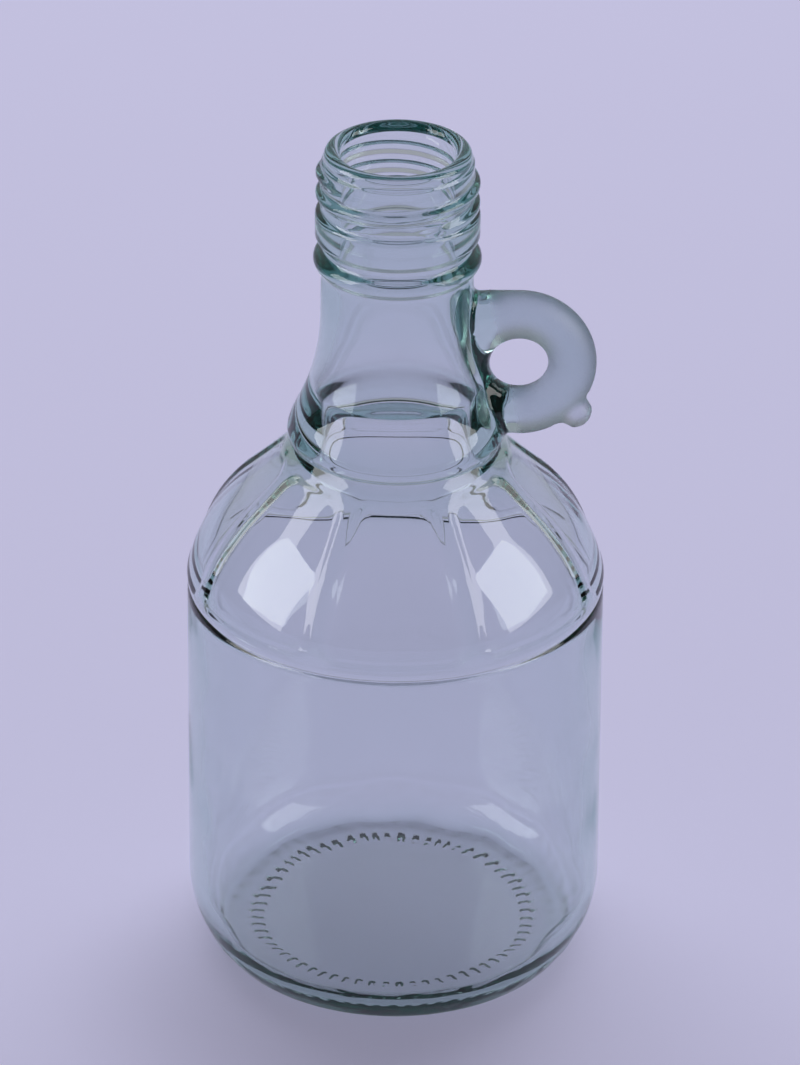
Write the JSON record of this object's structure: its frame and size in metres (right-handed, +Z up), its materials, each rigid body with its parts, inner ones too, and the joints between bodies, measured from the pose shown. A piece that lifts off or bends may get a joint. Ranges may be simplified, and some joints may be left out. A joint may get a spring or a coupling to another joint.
{
  "type": "oil jug",
  "caption": "Empty clear glass oil jug: round body, domed panelled shoulder, flared neck with a screw-threaded pouring mouth, and a small frosted finger ring at the side of the neck.",
  "frame": {"origin": "middle of the base, on the plane that the jug stands on", "axes": "+Z up along the body's axis, +X towards the finger ring, -Y towards the camera"},
  "size_m": [0.085, 0.085, 0.178],
  "materials": {
    "glass": "clear and glossy with a faint green depth, frosted on the finger ring"
  },
  "bodies": {
    "root": {"jug": "glass"}
  },
  "joints": []
}
